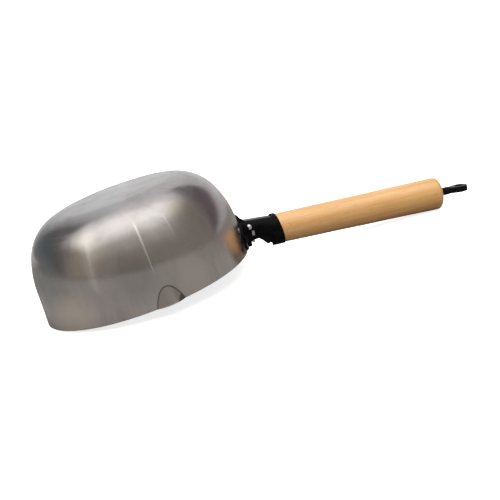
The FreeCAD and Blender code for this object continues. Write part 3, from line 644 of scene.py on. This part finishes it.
def make_bowl(material):
    """Spun bowl with two pour lips: both skins and a rounded rim edge."""
    bearings = bowl_bearings()
    skins = []
    painted_light_rows = []
    for inset in (0.0, BOWL_SHEET):
        rings, ring_painted_light = zip(*(bowl_ring(point, outward, inset, bearings)
                            for point, outward in bowl_skin()))
        rim = [point + Vector((0, 0, RIM_ROUND * MM)) for point in rings[0]]
        skins.append([rim, *rings[1:]])
        painted_light_rows.append(ring_painted_light)
    outer, inner = skins
    edge = rim_edge(outer[0], inner[0])
    edge_painted_light = [[0.0] * len(bearings) for _loop in edge]
    mesh = grid_mesh("bowl_shell", outer[::-1] + edge + inner)
    layer = mesh.attributes.new("brightening", "FLOAT", "POINT")
    rows = [*painted_light_rows[0][::-1], *edge_painted_light, *painted_light_rows[1]]
    layer.data.foreach_set("value", [amount for row in rows for amount in row])
    mesh.transform(LADLE)
    new_piece("bowl_shell", mesh, material, "bowl")


# ---------------------------------------------------------------- grip
def grip_outline():
    """Half section of the grip, in mm: places along it and radii, from the tenon's bore."""
    slope_run, slope_drop = SHOULDER_SLOPE
    outline = [(-TENON_LENGTH, BORE_RADIUS), (-TENON_LENGTH, TENON_RADIUS - TENON_CHAMFER),
               (-TENON_LENGTH + TENON_CHAMFER, TENON_RADIUS), (SEAT_START, TENON_RADIUS),
               (SEAT_START, SEAT_RADIUS), (GRIP_SHOULDER, SEAT_RADIUS),
               (GRIP_SHOULDER, GRIP_FRONT_RADIUS - slope_drop),
               (GRIP_SHOULDER + slope_run, GRIP_FRONT_RADIUS)]
    body_steps, corner_steps = 60, 10
    corner_start = GRIP_LENGTH - GRIP_EDGE
    for step in range(1, body_steps):
        share = step / body_steps
        outline.append((GRIP_SHOULDER + (corner_start - GRIP_SHOULDER) * share,
                        GRIP_FRONT_RADIUS + (GRIP_TAIL_RADIUS - GRIP_FRONT_RADIUS) * share))
    for step in range(corner_steps + 1):
        angle = math.pi / 2 * (1 - step / corner_steps)
        outline.append((corner_start + GRIP_EDGE * math.cos(angle),
                        GRIP_TAIL_RADIUS - GRIP_EDGE + GRIP_EDGE * math.sin(angle)))
    outline += [(GRIP_LENGTH, RECESS_RADIUS + RECESS_CHAMFER),
                (GRIP_LENGTH - RECESS_CHAMFER, RECESS_RADIUS),
                (GRIP_LENGTH - RECESS_DEPTH, RECESS_RADIUS),
                (GRIP_LENGTH - RECESS_DEPTH, BORE_RADIUS)]
    return outline


def make_grip(material):
    """Turned wooden grip with a tenon, rounded tail, bore and washer recess."""
    sides = 128
    rows = []
    for along, radius in grip_outline():
        outside = GRIP_SHOULDER < along < GRIP_LENGTH - RECESS_DEPTH and radius > SEAT_RADIUS
        ring = []
        for step in range(sides):
            angle = 2 * math.pi * step / sides
            ray = Vector((0.0, math.cos(angle), math.sin(angle)))
            place = Vector((along, radius * math.cos(angle), radius * math.sin(angle)))
            spot = Vector((along * 0.03, place.y * 0.08, place.z * 0.08))
            wave = noise.noise(spot) * GRIP_WAVE if outside else 0.0
            ring.append((place + ray * wave) * MM)
        rows.append(ring)
    mesh = grid_mesh("wood_grip", rows, close_rows=True)
    mesh.transform(GRIP)
    new_piece("wood_grip", mesh, material, "grip")
    mesh.set_sharp_from_angle(angle=math.radians(50))


# ---------------------------------------------------------------- materials
def ring_place(nodes, place):
    """Coordinates for marks that run round the bowl's axis.

    They change fast with the distance from the axis and the height, and slowly round it.
    """
    distance = nodes.vector_math("LENGTH", nodes.stretch(place, (1, 1, 0)), (0, 0, 0), "Value")
    rings = nodes.add("ShaderNodeCombineXYZ")
    nodes.link(distance, rings.inputs["X"])
    nodes.link(nodes.split(place)["Z"], rings.inputs["Z"])
    slow = nodes.stretch(place, (0.04, 0.04, 0.0))
    return nodes.vector_math("ADD", rings.outputs[0], slow)


def stained_steel(nodes, place, marks, stains):
    """Colour of the steel: warm clouds, olive and pink patches, runs, dirt and dark marks."""
    clouds = nodes.noise(place, 17.0, 4.0, 0.6, 0.6)
    patches = nodes.noise(place, 9.0, 2.0, 0.5, 0.3)
    runs = nodes.noise(nodes.stretch(place, (1, 1, 0.10)), 75.0, 4.0, 0.6, 0.4)
    color = nodes.ramp(clouds, [(0.30, (0.60, 0.565, 0.545)), (0.50, (0.555, 0.515, 0.505)),
                                (0.72, (0.52, 0.50, 0.47))])
    layers = ((patches, [(0.56, 0.0), (0.76, 0.50)], (0.50, 0.485, 0.42)),
              (patches, [(0.26, 0.50), (0.44, 0.0)], (0.56, 0.48, 0.49)),
              (runs, [(0.36, 0.30), (0.56, 0.0)], (0.44, 0.41, 0.40)),
              (stains, [(0.48, 0.0), (0.74, 0.55)], (0.38, 0.35, 0.335)),
              (marks, [(0.35, 0.16), (0.65, 0.0)], (0.42, 0.40, 0.39)))
    for pattern, stops, tint in layers:
        color = nodes.mix(nodes.ramp(pattern, stops), color, tint)
    return color


def tint_patches(nodes, place, stains, color):
    """Add the patches of heat tint and painted reflection, with ragged edges."""
    unevenness = 1.3
    for bearing, height, reach, tint, strength in PATCHES:
        middle = on_bowl(bearing, height) * MM
        apart = nodes.vector_math("DISTANCE", place, middle, "Value")
        ragged = nodes.math("ADD", nodes.math("DIVIDE", apart, reach * MM),
                            nodes.math("MULTIPLY", nodes.math("SUBTRACT", stains, 0.5),
                                       unevenness))
        cover = nodes.ramp(ragged, [(0.25, strength), (1.0, 0.0)], mode="EASE")
        color = nodes.mix(cover, color, tint)
    return color


def steel_material():
    """Spun stainless steel: rings of fine brush marks, cloudy warm stains, soft gloss."""
    material, nodes, shader = new_material("bowl_steel")
    place = place_in(nodes, LADLE)
    around = ring_place(nodes, place)
    marks = nodes.noise(around, 2600.0, 4.0, 0.65)
    coarse_marks = nodes.noise(around, 520.0, 3.0, 0.6)
    stains = nodes.noise(nodes.stretch(place, (1, 1, 0.45)), 30.0, 5.0, 0.62, 1.2)
    color = stained_steel(nodes, place, marks, stains)
    color = tint_patches(nodes, place, stains, color)
    # The brightening attribute holds painted highlights above 0 and painted shade below 0.
    brightening = nodes.add("ShaderNodeAttribute", attribute_name="brightening").outputs["Fac"]
    painted_highlight = nodes.math("MULTIPLY", brightening, 1.0, clamp=True)
    painted_shade = nodes.math("MULTIPLY", brightening, -0.85, clamp=True)
    color = nodes.mix(painted_highlight, color, (0.97, 0.95, 0.91))
    color = nodes.mix(painted_shade, color, (0.05, 0.045, 0.045))
    nodes.link(color, shader.inputs["Base Color"])
    shader.inputs["Metallic"].default_value = 1.0
    shader.inputs["Anisotropic"].default_value = 0.5
    tangent = nodes.add("ShaderNodeTangent", direction_type="RADIAL", axis="Z")
    nodes.link(tangent.outputs[0], shader.inputs["Tangent"])
    roughness = nodes.math("ADD", nodes.ramp(coarse_marks, [(0.30, 0.14), (0.70, 0.20)]),
                           nodes.ramp(stains, [(0.45, 0.0), (0.75, 0.12)]))
    nodes.link(roughness, shader.inputs["Roughness"])
    fine = nodes.bump(marks, 0.02 * MM, 0.35)
    nodes.link(nodes.bump(coarse_marks, 0.03 * MM, 0.35, fine), shader.inputs["Normal"])
    return material


def paint_material(name, roughness, gloss, brightening):
    """Glossy black paint with a faint orange peel, dust and worn edges."""
    material, nodes, shader = new_material(name)
    place = nodes.place()
    peel = nodes.noise(place, 900.0, 2.0, 0.5)
    dust = nodes.noise(place, 210.0, 5.0, 0.7)
    edges = nodes.add("ShaderNodeNewGeometry").outputs["Pointiness"]
    unevenness = nodes.math("MULTIPLY", nodes.math("SUBTRACT", dust, 0.5), 0.16)
    bare = nodes.ramp(nodes.math("ADD", edges, unevenness), [(0.60, 0.0), (0.66, brightening)])
    coat = nodes.ramp(dust, [(0.40, (0.0020, 0.0020, 0.0026)), (0.75, (0.007, 0.007, 0.008))])
    nodes.link(nodes.mix(bare, coat, (0.10, 0.095, 0.09)), shader.inputs["Base Color"])
    rough = nodes.ramp(dust, [(0.40, roughness), (0.80, roughness + 0.16)])
    nodes.link(rough, shader.inputs["Roughness"])
    shader.inputs["Specular IOR Level"].default_value = gloss
    nodes.link(nodes.bump(peel, 0.02 * MM, 0.35), shader.inputs["Normal"])
    return material


def bright_material(name, color, roughness):
    """Bare or plated metal with fine scratches and dull blotches."""
    material, nodes, shader = new_material(name)
    place = nodes.place()
    scratches = nodes.noise(nodes.stretch(place, (1, 0.2, 1)), 2400.0, 3.0, 0.6, 0.4)
    blotches = nodes.noise(place, 420.0, 4.0, 0.6)
    dull = tuple(part * 0.72 for part in color)
    shade = nodes.mix(nodes.ramp(blotches, [(0.45, 0.0), (0.75, 0.8)]), color, dull)
    nodes.link(shade, shader.inputs["Base Color"])
    shader.inputs["Metallic"].default_value = 1.0
    rough = nodes.ramp(blotches, [(0.35, roughness), (0.75, roughness + 0.2)])
    nodes.link(rough, shader.inputs["Roughness"])
    nodes.link(nodes.bump(scratches, 0.01 * MM, 0.4), shader.inputs["Normal"])
    return material


def beech_material():
    """Varnished beech: straight bands of growth, fine fibres, short dark flecks, worn sheen."""
    material, nodes, shader = new_material("beech")
    place = place_in(nodes, GRIP)
    # The grip was sawn a little across the grain, and off the tree's middle.
    cut = [math.radians(angle) for angle in (24.0, 1.6, 1.2)]
    board = nodes.mapping(place, Rotation=cut, Location=(0.0, 0.031, 0.012))
    warp = nodes.noise(nodes.stretch(board, (0.16, 1, 1)), 70.0, 3.0, 0.5)
    bands = nodes.noise(nodes.stretch(board, (0.035, 0.5, 1.0)), 330.0, 3.0, 0.55, 0.25)
    broad = nodes.noise(nodes.stretch(board, (0.10, 0.8, 1.0)), 75.0, 2.0, 0.5, 0.3)
    fibres = nodes.noise(nodes.stretch(board, (0.03, 1, 1)), 2600.0, 3.0, 0.7)
    flecks = nodes.noise(nodes.stretch(board, (0.16, 1.0, 0.5)), 1500.0, 1.0, 0.4)
    tone = nodes.math("ADD", nodes.math("MULTIPLY", bands, 0.55),
                      nodes.math("MULTIPLY", broad, 0.45))
    color = nodes.ramp(tone, [(0.34, (0.63, 0.295, 0.080)), (0.48, (0.72, 0.385, 0.120)),
                              (0.62, (0.78, 0.46, 0.175))])
    # The grip is darker over its tail end and the rounding before it.
    along = nodes.math("DIVIDE", nodes.split(place)["X"], GRIP_LENGTH * MM)
    layers = ((warp, [(0.45, 0.0), (0.70, 0.35)], (0.68, 0.32, 0.095)),
              (fibres, [(0.38, 0.28), (0.60, 0.0)], (0.46, 0.24, 0.095)),
              (flecks, [(0.66, 0.0), (0.76, 0.26)], (0.33, 0.155, 0.06)),
              (along, [(0.974, 0.0), (0.990, 0.30)], (0.52, 0.27, 0.11)))
    for pattern, stops, tint in layers:
        color = nodes.mix(nodes.ramp(pattern, stops), color, tint)
    nodes.link(color, shader.inputs["Base Color"])
    nodes.link(nodes.ramp(fibres, [(0.30, 0.36), (0.70, 0.48)]), shader.inputs["Roughness"])
    shader.inputs["Coat Weight"].default_value = 1.0
    shader.inputs["Coat Roughness"].default_value = 0.24
    grain = nodes.bump(fibres, 0.03 * MM, 0.5)
    nodes.link(nodes.bump(flecks, 0.02 * MM, 0.3, grain), shader.inputs["Normal"])
    return material


# ---------------------------------------------------------------- build
make_camera()
make_studio()

make_bowl(steel_material())
make_grip(beech_material())
new_piece("bracket_painted", soften("bracket", "bracket_painted", BRACKET_SMOOTHING),
          paint_material("black_paint", 0.13, 0.055, 0.25), "bracket")
new_piece("rod_painted", soften("tie_rod", "rod_painted", ROD_SMOOTHING),
          paint_material("black_rod", 0.22, 0.12, 0.5), "tie_rod")

zinc = bright_material("zinc", (0.52, 0.53, 0.54), 0.34)
carried = {
    "flange_rivets": paint_material("black_rivet", 0.16, 0.12, 0.3),
    "cross_rivet": bright_material("bright_rivet", (0.86, 0.86, 0.86), 0.16),
    "anchor_bridge": zinc,
    "anchor_nut": zinc,
    "tail_washer": zinc,
}
for node, material in carried.items():
    mesh = frame["nodes"][node].data
    mesh.materials.clear()
    mesh.materials.append(material)
